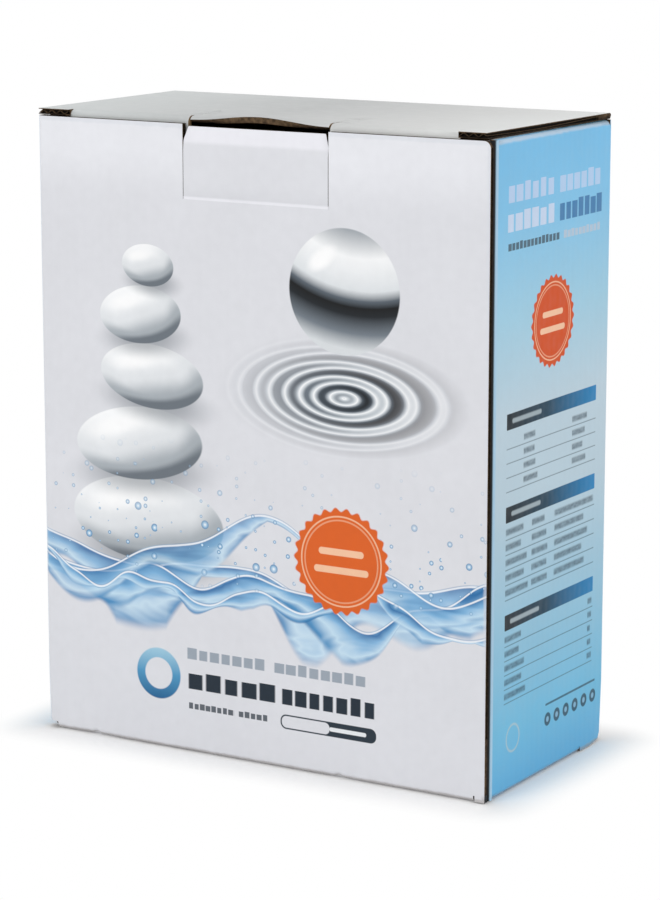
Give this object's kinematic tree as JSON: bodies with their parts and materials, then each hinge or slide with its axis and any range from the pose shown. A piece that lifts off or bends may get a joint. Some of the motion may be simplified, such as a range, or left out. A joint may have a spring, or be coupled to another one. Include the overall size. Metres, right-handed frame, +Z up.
{
  "type": "printed corrugated retail carton with a tuck lid",
  "caption": "Upright folding carton of fine-flute corrugated board with a back-hinged tuck lid, a slotted tuck crease, a locking tongue in the front panel and a snap-lock bottom.",
  "frame": {"origin": "on the floor under the middle of the box", "axes": "+Z up the box, the printed front faces -Y, the lid is hinged along the +Y top edge, +X is the glued side of the front"},
  "size_m": [0.16, 0.079, 0.2],
  "materials": {
    "printed_board": "white board with a satin printed and varnished sheet, brown fluting at its cut edges"
  },
  "bodies": {
    "carton": {"carton_body": "printed_board"},
    "lid": {"top_lid": "printed_board"},
    "tongue": {"locking_tongue": "printed_board"}
  },
  "joints": [
    {"name": "lid_hinge", "type": "hinge", "parent": "carton", "child": "lid", "pos_m": [0, 0.0395, 0.1992], "axis": [-1, 0, 0], "range_deg": [0, 180]},
    {"name": "tongue_hinge", "type": "hinge", "parent": "carton", "child": "tongue", "pos_m": [0, -0.0395, 0.1746], "axis": [1, 0, 0], "range_deg": [0, 45]}
  ]
}
